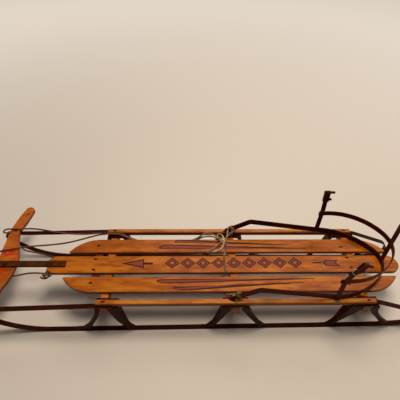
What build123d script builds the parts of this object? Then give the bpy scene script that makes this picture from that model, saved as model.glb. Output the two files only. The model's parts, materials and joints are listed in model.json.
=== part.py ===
from build123d import *
import math
import os

# Old wooden steering sled on steel runners, with a home-made strap guard round its rear.
# Front at -X, rear at +X, the rider's right at +Y, up at +Z. Sizes are in millimetres.
# Stations along X are measured from the middle beam, and the whole sled is moved at the
# end so that the origin lies on the floor under the middle of its length.

# deck slats
slat_top = 205.0
slat_thick = 14.0
middle_width = 90.0
side_width = 75.0
slat_gap = 20.0
middle_front = -818.0
middle_rear = 746.0
side_front = -738.0
side_rear = 712.0
front_taper = 140.0
rear_taper = 150.0
slat_round = 3.0

# side rails
rail_width = 22.5
rail_height = 21.0
rail_top = 212.0
rail_outer = 200.0
rail_overhang = 30.0
rail_round = 5.0

# beams
beam_spacing = 548.0
beam_width = 30.0
beam_depth = 54.0
beam_reach = 203.0
beam_round = 8.0

# a thin batten nailed under the slats just ahead of the front beam
batten_ahead = 56.0
batten_width = 30.0
batten_depth = 12.0
batten_reach = 130.0

# runners, one bent strip a side with both return straps
strip_width = 20.0
strip_thick = 5.0
runner_half_gauge = 193.0
toe_angle = 0.45
runner_flat_front = -800.0
front_sweep_radius = 320.0
front_sweep_angle = 57.0
front_curl_radius = 19.5
bar_strap_top = 182.2
strap_level_start = -950.0
lap_length = 38.0
strap_bend_beyond = 50.0
rear_rise_start = 560.0
rear_rise_angle = 7.0
rear_rise_radius = 1500.0
rear_strap_angle = 22.3
strap_bend_radius = 60.0

# pressed knees
plate_thick = 3.0
knee_inner = 160.0
knee_outer = 206.0
knee_foot_width = 17.0
knee_foot_radius = 30.0
knee_leg_radius = 320.0
knee_corner_radius = 8.0
knee_pad = 20.0
knee_waist = 100.0
knee_waist_share = 0.40
knee_taper_low = 45.0

# steering bar, tongue and pivot
bar_front = -1042.0
bar_rear = -954.0
bar_half_span = 350.0
bar_grip_y = 328.0
bar_grip_sweep = 32.0
bar_shoulder_y = 185.0
bar_waist_y = 195.0
bar_waist_cut = 44.0
bar_centre_half = 115.0
bar_thick = 17.0
bar_clearance = 5.0
bar_round = 3.0
rope_hole_radius = 4.5
rope_hole_y = 302.0
rope_hole_x = -990.0
tongue_width = 29.0
tongue_thick = 9.0
tongue_nose = -1072.0
tongue_tail = -738.0
pivot_x = -998.0
pivot_radius = 4.75
pivot_clearance = 0.05
tongue_gap = 0.8
washer_radius = 11.0
washer_thick = 2.0
nut_height = 7.0
bolt_head_radius = 9.0
bolt_head_height = 4.5
bar_bolt_x = -1016.0
bar_bolt_radius = 3.5

# guard of bent straps round the rear
band_thick = 4.0
guard_half_width = 182.0
guard_nose = 664.0
lower_band_height = 28.0
lower_hoop_straight = 400.0
lower_nose_radius = 105.0
upper_band_height = 24.0
upper_hoop_straight = 440.0
upper_nose_radius = 130.0
guard_foot_drop = 24.0
upper_band_mid = 340.0
guard_foot_x = -18.0
guard_corner_x = 88.0
guard_corner_z = 282.0
upright_station = 412.0
upright_width = 20.0
upright_top = 456.0
upright_bend_z = 350.0
upright_lean_out = 15.0
upright_lean_back = 46.0
rear_upright_y = 10.0
rear_upright_width = 24.0
foot_lug_length = 40.0
foot_lug_width = 20.0
rivet_radius = 5.0
rivet_height = 2.5

# rope
rope_diameter = 8.0
rope_gap = 0.3
knot_side = 26.0
knot_height = 17.0
knot_x = -41.0
knot_y = 123.0
left_knot_x = 10.0
left_knot_width = 24.0
lashing_wrap = 5.5
lashing_length = 14.0
lashing_mid_z = 236.0
hitch_length = 16.0
hitch_x = -1060.0
tie_diameter = 4.0

# sizes that follow from those above
slat_under = slat_top - slat_thick
rail_half_length = beam_spacing + rail_overhang
rail_under = rail_top - rail_height
rail_inner = rail_outer - rail_width
middle_half = middle_width / 2
side_inner = middle_half + slat_gap
side_outer = side_inner + side_width
lap_mid = rail_under + strip_thick / 2
floor_mid = strip_thick / 2
bar_strap_mid = bar_strap_top - strip_thick / 2
bar_under = bar_strap_top + bar_clearance
bar_top = bar_under + bar_thick


def cuboid(x0, x1, y0, y1, z0, z1):
    # a box from its two corners
    solid = Box(x1 - x0, y1 - y0, z1 - z0, align=(Align.MIN, Align.MIN, Align.MIN))
    return Pos(x0, y0, z0) * solid


def plan_solid(face, z0, z1):
    # a plan outline in X and Y, raised from z0 to z1
    return extrude(Pos(0, 0, z0) * face, amount=z1 - z0)


def side_solid(face, y0, y1):
    # an outline in X and Z, thick from y0 to y1
    return extrude(Plane.XZ.offset(-y1) * face, amount=y1 - y0)


def end_solid(face, x0, x1):
    # an outline in Y and Z, thick from x0 to x1
    return extrude(Plane.YZ.offset(x0) * face, amount=x1 - x0)


def mitred(points, shift):
    # the corners of a line that runs beside a row of corners, at a distance to its left
    steps = [(b[0] - a[0], b[1] - a[1]) for a, b in zip(points, points[1:])]
    normals = [(-dy / math.hypot(dx, dy), dx / math.hypot(dx, dy)) for dx, dy in steps]
    sides = list(zip([normals[0]] + normals, normals + [normals[-1]]))
    moved = []
    for (px, py), ((ax, ay), (bx, by)) in zip(points, sides):
        scale = shift / (1 + ax * bx + ay * by)
        moved.append((px + (ax + bx) * scale, py + (ay + by) * scale))
    return moved


def turns_left(before, corner, after):
    # true where a row of corners turns to its left
    ahead = (corner[0] - before[0], corner[1] - before[1])
    onward = (after[0] - corner[0], after[1] - corner[1])
    return ahead[0] * onward[1] - ahead[1] * onward[0] > 0


def bent_strip(points, radii, thick):
    # the side view of a strip bent along a row of corners, each with its own radius
    half = thick / 2
    left_turns = [turns_left(*points[i:i + 3]) for i in range(len(points) - 2)]
    edges = []
    ends = []
    for shift in (half, -half):
        side = mitred(points, shift)
        own = [r - shift if left else r + shift for r, left in zip(radii, left_turns)]
        if own:
            edges += FilletPolyline(*side, radius=own).edges()
        else:
            edges += Polyline(*side).edges()
        ends.append((side[0], side[-1]))
    edges.append(Line(ends[0][0], ends[1][0]).edge())
    edges.append(Line(ends[0][1], ends[1][1]).edge())
    return make_face(edges)


def mirrored(solid):
    # the same piece on the rider's left
    return mirror(solid, about=Plane.XZ)


def round_top(solid, radius):
    # rounds the upper edges of a flat board
    return fillet(solid.edges().group_by(Axis.Z)[-1], radius)


def middle_slat():
    # the longest board, blunt with cut corners in front and a half round at the rear
    front_cut = middle_half * 0.4
    nose = rear_taper * 0.28
    outline = [
        Line((middle_front, -middle_half + front_cut), (middle_front, middle_half - front_cut)),
        Line((middle_front, middle_half - front_cut), (middle_front + 1.4 * front_cut, middle_half)),
        Line((middle_front + 1.4 * front_cut, middle_half), (middle_rear - nose, middle_half)),
        ThreePointArc((middle_rear - nose, middle_half), (middle_rear, 0),
                      (middle_rear - nose, -middle_half)),
        Line((middle_rear - nose, -middle_half), (middle_front + 1.4 * front_cut, -middle_half)),
        Line((middle_front + 1.4 * front_cut, -middle_half), (middle_front, -middle_half + front_cut)),
    ]
    return round_top(plan_solid(make_face(outline), slat_under, slat_top), slat_round)


def side_slat():
    # a side board on the rider's right, its outer edge swept in at both ends
    front_end = (side_front, side_inner + 4)
    front_mid = (side_front + 0.36 * front_taper, side_outer - 0.30 * side_width)
    front_full = (side_front + front_taper, side_outer)
    rear_end = (side_rear, side_inner + 4)
    rear_mid = (side_rear - 0.36 * rear_taper, side_outer - 0.28 * side_width)
    rear_full = (side_rear - rear_taper, side_outer)
    outline = [
        ThreePointArc(front_end, front_mid, front_full),
        Line(front_full, rear_full),
        ThreePointArc(rear_full, rear_mid, rear_end),
        Line(rear_end, (side_rear - 4, side_inner)),
        Line((side_rear - 4, side_inner), (side_front + 4, side_inner)),
        Line((side_front + 4, side_inner), front_end),
    ]
    return round_top(plan_solid(make_face(outline), slat_under, slat_top), slat_round)


def side_rail():
    # a rail on the rider's right, notched under each end for the runner's strap
    rail = cuboid(-rail_half_length, rail_half_length, rail_inner, rail_outer, rail_under, rail_top)
    rail = fillet(rail.edges().filter_by(Axis.X).group_by(Axis.Z)[-1], rail_round)
    inner_end = beam_spacing - lap_length - 1
    for side in (-1, 1):
        x0, x1 = sorted((side * inner_end, side * (rail_half_length + 1)))
        rail -= cuboid(x0, x1, rail_inner - 1, rail_outer + 1, rail_under - 1, rail_under + strip_thick)
    return rail


def beam(station):
    # a cross beam, its lower corners rounded and its ends stepped down for the knees' plates
    low = slat_under - beam_depth
    bar = cuboid(station - beam_width / 2, station + beam_width / 2, -beam_reach, beam_reach,
                 low, slat_under)
    bar = fillet(bar.edges().filter_by(Axis.Y).group_by(Axis.Z)[0], beam_round)
    for side in (-1, 1):
        y0, y1 = sorted((side * (knee_inner - 1), side * (beam_reach + 1)))
        bar -= cuboid(station - beam_width, station + beam_width, y0, y1,
                      rail_under - plate_thick, slat_under + 1)
    return bar


def batten():
    # the thin cross piece that holds the slats' front ends level
    station = -beam_spacing - batten_ahead
    return cuboid(station - batten_width / 2, station + batten_width / 2, -batten_reach, batten_reach,
                  slat_under - batten_depth, slat_under)


def runner_centre(station):
    # how far a runner's centre line lies from the middle, with its slight toe-out
    return runner_half_gauge - station * math.tan(math.radians(toe_angle))


def sole_lift(x):
    # how far a knee's foot on the sole has risen at a station near the rear end
    along = max(0.0, x - rear_rise_start)
    radius = rear_rise_radius - (strip_thick + plate_thick) / 2
    return radius - math.sqrt(radius ** 2 - along ** 2)


def knee(station, top_front, top_rear, foot_front, foot_rear):
    # a pressed steel knee on the rider's right, wide under the rail and narrow on the runner
    foot_mid = strip_thick + plate_thick / 2
    top_mid = rail_under - plate_thick / 2
    corners = []
    radii = []
    for side, top, foot in ((-1, top_front, foot_front), (1, top_rear, foot_rear)):
        pad = [(station + side * x, foot_mid + sole_lift(station + side * x))
               for x in (foot + knee_pad, foot)]
        waist = (station + side * (top + knee_waist_share * (foot - top)), knee_waist)
        half = pad + [waist, (station + side * top, top_mid)]
        bends = [knee_foot_radius, knee_leg_radius, knee_corner_radius]
        corners += half if side < 0 else half[::-1]
        radii += bends if side < 0 else bends[::-1]
    strip = side_solid(bent_strip(corners, radii, plate_thick), 0, knee_outer + 40)
    centre = runner_centre(station)
    half_foot = knee_foot_width / 2
    taper = [(knee_inner, rail_under + 1), (knee_outer, rail_under + 1),
             (knee_outer, rail_under - 20), (centre + half_foot, knee_taper_low),
             (centre + half_foot, 0), (centre - half_foot, 0), (centre - half_foot, knee_taper_low),
             (knee_inner, rail_under - 20)]
    blade = end_solid(make_face(Polyline(*taper, close=True)), station - 400, station + 400)
    return strip & blade


def runner():
    # one strip: lap at the front beam, strap, front curl, floor, rear turn, strap, rear lap
    sweep = math.radians(front_sweep_angle)
    rise = math.radians(rear_rise_angle)
    slope = math.radians(rear_strap_angle)
    lap = beam_spacing - lap_length
    bend = beam_spacing + strap_bend_beyond
    foot_x = runner_flat_front - front_sweep_radius * math.tan(sweep / 2)
    crown_x = foot_x - (bar_strap_mid - floor_mid) / math.tan(sweep)
    rise_x = rear_rise_start + rear_rise_radius * math.tan(rise / 2)
    # where the rising sole line meets the falling rear strap's line
    reach = (lap_mid - floor_mid + bend * math.tan(slope) + rise_x * math.tan(rise))
    tail_x = reach / (math.tan(slope) + math.tan(rise))
    tail_z = floor_mid + (tail_x - rise_x) * math.tan(rise)
    tail_radius = rear_turn_radius(rise, slope, bend, rise_x)
    corners = [(-lap, lap_mid), (-bend, lap_mid), (strap_level_start, bar_strap_mid),
               (crown_x, bar_strap_mid), (foot_x, floor_mid), (rise_x, floor_mid),
               (tail_x, tail_z), (bend, lap_mid), (lap, lap_mid)]
    radii = [strap_bend_radius, strap_bend_radius, front_curl_radius, front_sweep_radius,
             rear_rise_radius, tail_radius, strap_bend_radius]
    face = bent_strip(corners, radii, strip_thick)
    return side_solid(face, -strip_width / 2, strip_width / 2)


def rear_turn_radius(rise, slope, bend, rise_x):
    # the rear turn fills the wedge between the rising sole and the strap
    sole_end_x = rear_rise_start + rear_rise_radius * math.sin(rise)
    sole_end_z = floor_mid + rear_rise_radius * (1 - math.cos(rise))
    height = lap_mid - sole_end_z - math.tan(slope) * (sole_end_x - bend)
    spread = math.cos(rise) + math.cos(slope) + math.tan(slope) * (math.sin(slope) - math.sin(rise))
    return 0.99 * height / spread


def placed_runner(side):
    # the strip at its gauge, toed out a little towards the front
    return Pos(0, side * runner_half_gauge, 0) * Rot(0, 0, -side * toe_angle) * runner()


def crossbar():
    # the steering bar: deep in the middle, slimmer over the straps, swept-back grips
    def right_half():
        mid_y = (bar_shoulder_y + bar_grip_y) / 2
        front_grip = bar_front + bar_grip_sweep
        rear_grip = bar_rear - bar_grip_sweep * 0.4
        waist = bar_rear - bar_waist_cut
        return [
            Line((bar_front, 0), (bar_front, bar_shoulder_y)),
            ThreePointArc((bar_front, bar_shoulder_y), (bar_front + bar_grip_sweep * 0.34, mid_y),
                          (front_grip, bar_grip_y)),
            ThreePointArc((front_grip, bar_grip_y), ((front_grip + rear_grip) / 2, bar_half_span),
                          (rear_grip, bar_grip_y)),
            ThreePointArc((rear_grip, bar_grip_y), (rear_grip - bar_grip_sweep * 0.40, mid_y),
                          (waist, bar_waist_y)),
            Line((waist, bar_waist_y), (bar_rear - bar_waist_cut * 0.57, bar_centre_half)),
            ThreePointArc((bar_rear - bar_waist_cut * 0.57, bar_centre_half),
                          (bar_rear - bar_waist_cut * 0.16, bar_centre_half * 0.52), (bar_rear, 0)),
            Line((bar_rear, 0), (bar_front, 0)),
        ]
    half = plan_solid(make_face(right_half()), bar_under, bar_top)
    bar = round_top(half + mirrored(half), bar_round)
    hole = Cylinder(pivot_radius + pivot_clearance, bar_thick * 3)
    bar -= Pos(pivot_x, 0, bar_under) * hole
    for side in (-1, 1):
        bar -= Pos(rope_hole_x, side * rope_hole_y, bar_under) * Cylinder(rope_hole_radius, bar_thick * 3)
        bar -= Pos(bar_bolt_x, side * runner_centre(bar_bolt_x), bar_under) * \
            Cylinder(bar_bolt_radius, bar_thick * 3)
    return bar


def dome_head(radius, height):
    # a low round bolt head standing on z = 0
    ball_radius = (radius ** 2 + height ** 2) / (2 * height)
    ball = Pos(0, 0, height - ball_radius) * Sphere(ball_radius)
    return ball & Pos(0, 0, height / 2) * Cylinder(radius + 1, height)


def bar_bolt(side):
    # the bolt that ties the bar to the strap on the real sled, here flush with the bar
    y = side * runner_centre(bar_bolt_x)
    shank = Pos(0, 0, -bar_thick / 2) * Cylinder(bar_bolt_radius, bar_thick)
    return Pos(bar_bolt_x, y, bar_top) * (shank + dome_head(bolt_head_radius, bolt_head_height))


def tongue():
    # the flat bar that carries the pivot, bolted on top of the middle slat's front
    half = tongue_width / 2
    outline = [
        Line((tongue_nose + half, half), (tongue_tail, half)),
        Line((tongue_tail, half), (tongue_tail, -half)),
        Line((tongue_tail, -half), (tongue_nose + half, -half)),
        ThreePointArc((tongue_nose + half, -half), (tongue_nose, 0), (tongue_nose + half, half)),
    ]
    bar = plan_solid(make_face(outline), slat_top, slat_top + tongue_thick)
    bar -= Pos(pivot_x, 0, slat_top) * Cylinder(pivot_radius, tongue_thick * 3)
    for x in (tongue_tail - 22, tongue_tail - 60):
        bar += Pos(x, 0, slat_top + tongue_thick) * dome_head(bolt_head_radius - 2, bolt_head_height)
    return bar


def pivot_bolt():
    # head on the tongue, shank through the bar, washer and nut below
    top = slat_top + tongue_thick
    washer_top = bar_under - tongue_gap / 2
    low = washer_top - washer_thick - nut_height - 3
    bolt = Pos(0, 0, (top + low) / 2) * Cylinder(pivot_radius, top - low)
    bolt += Pos(0, 0, top) * dome_head(bolt_head_radius + 2, bolt_head_height + 1)
    bolt += Pos(0, 0, washer_top - washer_thick / 2) * Cylinder(washer_radius, washer_thick)
    nut = extrude(RegularPolygon(bolt_head_radius, 6), amount=nut_height)
    bolt += Pos(0, 0, washer_top - washer_thick - nut_height) * nut
    return Pos(pivot_x, 0, 0) * bolt


def hoop_side(front, straight_end, nose_radius, shift):
    # half of a hoop's plan, beside its centre line by a distance, on the rider's right
    y = guard_half_width
    reach = guard_nose - nose_radius - straight_end
    side_radius = (reach ** 2 + y ** 2 - nose_radius ** 2) / (2 * (y - nose_radius))
    centre = (straight_end, y - side_radius)
    ux = reach / (side_radius - nose_radius)
    uy = (side_radius - y) / (side_radius - nose_radius)
    half_turn = (math.pi / 2 + math.atan2(uy, ux)) / 2
    r = side_radius + shift
    join = (centre[0] + r * ux, centre[1] + r * uy)
    middle = (centre[0] + r * math.cos(half_turn), centre[1] + r * math.sin(half_turn))
    straight = Line((front, y + shift), (straight_end, y + shift))
    side = ThreePointArc((straight_end, y + shift), middle, join)
    return straight, side, join


def hoop_face(front, straight_end, nose_radius):
    # the whole hoop's plan as a thin outline
    edges = []
    for shift in (band_thick / 2, -band_thick / 2):
        straight, side, join = hoop_side(front, straight_end, nose_radius, shift)
        nose = ThreePointArc(join, (guard_nose + shift, 0), (join[0], -join[1]))
        edges += [straight.edge(), side.edge(), nose.edge()]
        edges += [mirror(straight, about=Plane.XZ).edge(), mirror(side, about=Plane.XZ).edge()]
    for side in (-1, 1):
        y = side * guard_half_width
        edges.append(Line((front, y - band_thick / 2), (front, y + band_thick / 2)).edge())
    return make_face(edges)


def lower_guard():
    # feet on the rails, rising arms with a sharp corner, then the hoop laid round the rear
    rest_mid = rail_top + lower_band_height / 2
    nose_mid = slat_top + 0.3 + lower_band_height / 2
    path = [(guard_foot_x - 30, rest_mid - guard_foot_drop), (guard_corner_x, guard_corner_z),
            (upright_station, rest_mid), (guard_nose + 40, nose_mid)]
    side = side_solid(bent_strip(path, [1.0 + lower_band_height / 2, 60], lower_band_height),
                      -guard_half_width * 1.2, guard_half_width * 1.2)
    plan = plan_solid(hoop_face(guard_foot_x - 10, lower_hoop_straight, lower_nose_radius),
                      rail_top - 30, guard_corner_z + 40)
    band = plan & side
    keep = cuboid(guard_foot_x - 60, guard_nose + 60, -300, 300, rail_top, guard_corner_z + 60) + \
        cuboid(upright_station, guard_nose + 60, -rail_inner, rail_inner, slat_top, guard_corner_z + 60)
    band = band & keep
    for side_sign in (-1, 1):
        y0, y1 = sorted((side_sign * (guard_half_width - band_thick / 2),
                         side_sign * (guard_half_width - band_thick / 2 + foot_lug_width)))
        band += cuboid(guard_foot_x - foot_lug_length / 2, guard_foot_x + foot_lug_length / 2,
                       y0, y1, rail_top, rail_top + band_thick)
        screw = dome_head(rivet_radius, rivet_height)
        band += Pos(guard_foot_x - foot_lug_length / 4, (y0 + y1) / 2, rail_top + band_thick) * screw
    return band


def upper_guard():
    # the higher hoop, level
    face = hoop_face(upright_station - upright_width / 2 - 6, upper_hoop_straight, upper_nose_radius)
    return plan_solid(face, upper_band_mid - upper_band_height / 2,
                      upper_band_mid + upper_band_height / 2)


def rivet(y, z, side):
    # a round head on the outer face of a side upright
    return Pos(upright_station, y, z) * Rot(-90 * side, 0, 0) * dome_head(rivet_radius, rivet_height)


def right_upright():
    # leans out above the upper hoop
    inner = guard_half_width + band_thick / 2
    mid = inner + band_thick / 2
    path = [(mid, rail_top + 1), (mid, upright_bend_z), (mid + upright_lean_out, upright_top)]
    strap = end_solid(bent_strip(path, [60], band_thick), upright_station - upright_width / 2,
                      upright_station + upright_width / 2)
    strap += rivet(inner + band_thick, rail_top + lower_band_height / 2, 1)
    strap += rivet(inner + band_thick, upper_band_mid, 1)
    return strap


def left_upright():
    # bent back towards the rear above the upper hoop
    inner = guard_half_width + band_thick / 2
    path = [(upright_station, rail_top + 1), (upright_station, upright_bend_z),
            (upright_station + upright_lean_back, upright_top)]
    strap = side_solid(bent_strip(path, [80], upright_width), -inner - band_thick, -inner)
    strap += rivet(-inner - band_thick, rail_top + lower_band_height / 2, -1)
    strap += rivet(-inner - band_thick, upper_band_mid, -1)
    return strap


def rear_upright():
    # stands behind both hoops on the middle slat's rear end
    x0 = guard_nose + band_thick / 2
    y0 = rear_upright_y - rear_upright_width / 2
    strap = cuboid(x0, x0 + band_thick, y0, y0 + rear_upright_width, slat_top + 0.3, upright_top)
    strap = fillet(strap.edges().filter_by(Axis.X).group_by(Axis.Z)[-1], rear_upright_width * 0.45)
    for z in (slat_top + lower_band_height / 2, upper_band_mid):
        strap += Pos(x0 + band_thick, rear_upright_y, z) * Rot(0, 90, 0) * \
            dome_head(rivet_radius, rivet_height)
    return strap


def cleat():
    # a short strap doubled over an upright's top, with two blunt hooks to the rear
    width = upright_width + 6
    body = cuboid(-width / 2, width / 2, band_thick / 2, band_thick * 1.5, -50, 2)
    body += cuboid(-width / 2, width / 2, -band_thick * 1.5, -band_thick / 2, -50, 2)
    body += cuboid(-width / 2, width / 2, -band_thick * 1.5, band_thick * 1.5, 0, 4)
    for z, length in ((-2, 20), (-40, 12)):
        body += cuboid(width / 2 - 1, width / 2 + length, -band_thick, band_thick, z - 4, z + 4)
    return body


def placed_cleat(side):
    # the right one leans out with its upright, the left one leans back with its own
    middle = guard_half_width + band_thick
    rise = upright_top - upright_bend_z
    if side > 0:
        lean = math.degrees(math.atan2(upright_lean_out, rise))
        return Pos(upright_station, middle + upright_lean_out, upright_top) * Rot(-lean, 0, 0) * cleat()
    lean = math.degrees(math.atan2(upright_lean_back, rise))
    return Pos(upright_station + upright_lean_back, -middle, upright_top) * Rot(0, lean, 0) * cleat()


def tube_path(points):
    # straight runs joined by tangent arcs, each as large as its two runs allow
    vectors = [Vector(*p) for p in points]
    radii = []
    for before, corner, after in zip(vectors, vectors[1:], vectors[2:]):
        turn = math.radians((corner - before).get_angle(after - corner))
        shorter = min((corner - before).length, (after - corner).length)
        radii.append(0.45 * shorter / math.tan(turn / 2))
    return FilletPolyline(*vectors, radius=radii), radii


def rope_tube(name, points, diameter):
    # a plain round tube along a route, with its length and bend radii printed
    line, radii = tube_path(points)
    start = Plane(origin=line @ 0, z_dir=line % 0)
    tube = sweep(start * Circle(diameter / 2), path=line)
    expected = math.pi * diameter ** 2 / 4 * line.length
    print(name, "length", round(line.length), "volume share", round(tube.volume / expected, 3),
          "radii", [round(r) for r in radii])
    return tube


def sleeve(length, width, height, wrap):
    # turns of cord round a strap that runs along X, drawn as one plain sleeve
    outer = Box(length, width + 2 * (rope_gap + wrap), height + 2 * (rope_gap + wrap))
    outer = fillet(outer.edges().filter_by(Axis.X), wrap)
    return outer - Box(length * 2, width + 2 * rope_gap, height + 2 * rope_gap)


def foot_lashing(side):
    # turns of cord round the rising end of the guard's lower strap
    foot_z = rail_top + lower_band_height / 2 - guard_foot_drop
    rise = math.atan2(guard_corner_z - foot_z, guard_corner_x - (guard_foot_x - 30))
    x = guard_corner_x - (guard_corner_z - lashing_mid_z) / math.tan(rise)
    wraps = sleeve(lashing_length, band_thick, lower_band_height, lashing_wrap)
    return Pos(x, side * guard_half_width, lashing_mid_z) * Rot(0, -math.degrees(rise), 0) * wraps


def tongue_hitch():
    # the rope's turns round the tongue's nose
    wraps = sleeve(hitch_length, tongue_width, tongue_thick, rope_diameter)
    return Pos(hitch_x, 0, slat_top + tongue_thick / 2) * wraps


def main_knot():
    # where the ropes cross and are knotted, on top of the right side slat
    body = fillet(Box(knot_side, knot_side, knot_height).edges().filter_by(Axis.Z), 4)
    return Pos(knot_x, knot_y, slat_top + rope_gap + knot_height / 2) * Rot(0, 0, 45) * body


def left_knot():
    # where the rope is knotted beside the guard's left foot, over the gap by the rail
    body = fillet(Box(28, left_knot_width, knot_height + 3).edges().filter_by(Axis.Y), 5)
    y = guard_half_width - band_thick / 2 - lashing_wrap - 2 * rope_gap - left_knot_width / 2
    return Pos(left_knot_x, -y, rail_top + 6) * body


def off_knot(ahead, aside, slide, out, z):
    # a place outside the knot's face that looks to (ahead, aside), slid along it and out from it
    half = knot_side / 2 + rope_gap + out
    lean = math.sqrt(0.5)
    return (knot_x + lean * (ahead * half - aside * slide),
            knot_y + lean * (aside * half + ahead * slide), z)


def rope_routes():
    # routes of the rope's plain tubes, chosen by hand
    lying = slat_top + rope_diameter / 2 + rope_gap
    knot_z = slat_top + rope_gap + knot_height / 2
    foot_face = guard_half_width - band_thick / 2 - 2 * rope_gap - lashing_wrap
    left_face = left_knot_x - 14 - rope_gap
    nut_flat = bolt_head_radius * math.cos(math.pi / 6)
    return {
        "rope_outer": [
            (-1040, 179, 217), (-1056, 174, 217), (-1070, 184, 217), (-1063, 198, 217),
            (-1046, 201, 217), (-1020, 200, 217), (-985, 200, 217), (-946, 203, 212),
            (-908, 205, 202), (-851, 199, 195), (-786, 187, 194), (-703, 176, 199),
            (-634, 171, 212), (-596, 171, 219), (-563, 172, 220), (-531, 174, 218),
            (-503, 166, 208), (-471, 158, 193), (-430, 149, 181), (-350, 139, 179),
            (-268, 137, 179), (-205, 145, 181), (-168, 156, 186), (-147, 162, 197),
            (-131, 166, 211), (-117, 168, 218), (-93, 164, 219),
            off_knot(-1, 1, -5, 24, knot_z), off_knot(-1, 1, -5, 0, knot_z)],
        "rope_inner": [
            (hitch_x, 23.3, 210), (hitch_x, 42, 210), (hitch_x + 9, 62, 215),
            (hitch_x + 28, 76, 217), (-1000, 80, 217), (-955, 89, 216), (-903, 99, 211),
            (-833, 106, 208), (-758, 117, 208), (-676, 143, 211), (-622, 158, 217),
            (-585, 161, 220), (-557, 162, 220), (-525, 163, 218), (-492, 153, 208),
            (-462, 147, 194), (-432, 138, 181), (-352, 128, 179), (-270, 125, 179),
            (-212, 132, 180), (-180, 142, 183), (-160, 149, 191), (-142, 152, 202),
            (-122, 154, 210), (-96, 152, 213),
            off_knot(-1, 1, 5, 22, knot_z), off_knot(-1, 1, 5, 0, knot_z)],
        "rope_tail": [
            off_knot(-1, -1, 0, 0, lying + 1), off_knot(-1, -1, 0, 16, lying + 1),
            (-83, 84, lying), (-106, 70, lying)],
        "rope_to_foot": [
            off_knot(1, 1, 0, 0, knot_z), off_knot(1, 1, 0, 16, knot_z),
            (-9, 154, 223), (4, 162, 231), (4, foot_face, 231)],
        "rope_across": [
            off_knot(1, -1, 0, 0, lying + 1), off_knot(1, -1, 0, 10, lying + 1),
            (-22, 92, lying), (-30, 72, lying), (-37, 52, lying), (-40, 20, lying),
            (-38, -15, lying), (-36, -38, 211), (-40, -53, 207), (-47, -56, 195),
            (-60, -57, 184), (-78, -64, 180), (-84, -84, 179), (-72, -110, 180),
            (-56, -129, 181), (-44, -141, 185), (-36, -150, 194), (-29, -156, 206),
            (-17, -159, 215), (left_face, -159, 216)],
        "rope_front": [
            (-950, 84.9, 210), (-938, 78, 204), (-915, 78, 196), (-885, 75, 190),
            (-848, 68, 187), (-812, 55, 184), (-790, 30, 182), (-784, 0, 181),
            (-788, -28, 182), (-800, -46, 186), (-824, -52, 191), (-862, -48, 192),
            (-905, -48, 187), (-942, -52, 181), (-972, -46, 179), (-991, -30, 179),
            (pivot_x, -nut_flat - 11, 179), (pivot_x, -nut_flat - rope_gap, 179)],
    }


def tie_route():
    # a thin cord that hangs in a swag from the left upright's cleat
    lean = math.atan2(upright_lean_back, upright_top - upright_bend_z)
    y = -guard_half_width - band_thick

    def on_cleat(x, z):
        return (upright_station + upright_lean_back + x * math.cos(lean) + z * math.sin(lean), y,
                upright_top - x * math.sin(lean) + z * math.cos(lean))

    edge = upright_width / 2 + 3 + rope_gap
    tip = upright_width / 2 + 3 + 12 + rope_gap
    return [on_cleat(-edge, -38), on_cleat(-edge - 10, -38), (413, y - 4, 424), (418, y - 7, 410),
            (431, y - 7, 398), (447, y - 7, 390), (464, y - 5, 388), (477, y - 2, 395),
            on_cleat(tip + 10, -40), on_cleat(tip, -40)]


parts = {}
parts["slat_middle"] = middle_slat()
parts["slat_right"] = side_slat()
parts["slat_left"] = mirrored(side_slat())
parts["rail_right"] = side_rail()
parts["rail_left"] = mirrored(side_rail())
for place, sign in (("front", -1), ("middle", 0), ("rear", 1)):
    parts["beam_" + place] = beam(sign * beam_spacing)
parts["batten"] = batten()

# station, half widths of the top and half spreads of the feet, towards front and rear
knees = {
    "front": (-beam_spacing, 26, 45, 125, 140),
    "middle": (0, 34, 44, 145, 150),
    "rear": (beam_spacing, 62, 36, 180, 155),
}
for place, sizes in knees.items():
    parts["knee_" + place + "_right"] = knee(*sizes)
    parts["knee_" + place + "_left"] = mirrored(knee(*sizes))

parts["runner_right"] = placed_runner(1)
parts["runner_left"] = placed_runner(-1)
parts["crossbar"] = crossbar()
parts["bar_bolt_right"] = bar_bolt(1)
parts["bar_bolt_left"] = bar_bolt(-1)
parts["tongue"] = tongue()
parts["pivot_bolt"] = pivot_bolt()
parts["guard_lower"] = lower_guard()
parts["guard_upper"] = upper_guard()
parts["upright_right"] = right_upright()
parts["upright_left"] = left_upright()
parts["upright_rear"] = rear_upright()
parts["cleat_right"] = placed_cleat(1)
parts["cleat_left"] = placed_cleat(-1)
parts["lashing_right"] = foot_lashing(1)
parts["lashing_left"] = foot_lashing(-1)
parts["rope_hitch"] = tongue_hitch()
parts["rope_knot"] = main_knot()
parts["rope_knot_left"] = left_knot()
for name, points in rope_routes().items():
    parts[name] = rope_tube(name, points, rope_diameter)
parts["cord_tie"] = rope_tube("cord_tie", tie_route(), tie_diameter)

# the origin goes under the middle of the overall length
runner_box = parts["runner_right"].bounding_box()
shift = -(runner_box.min.X + runner_box.max.X) / 2
print("moved along X by", round(shift, 3))

os.makedirs("parts", exist_ok=True)
for name, solid in parts.items():
    export_step(Pos(shift, 0, 0) * solid, os.path.join("parts", name + ".step"))
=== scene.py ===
import bmesh
import bpy
import json
import math
import random
from mathutils import Matrix, Vector


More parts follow.
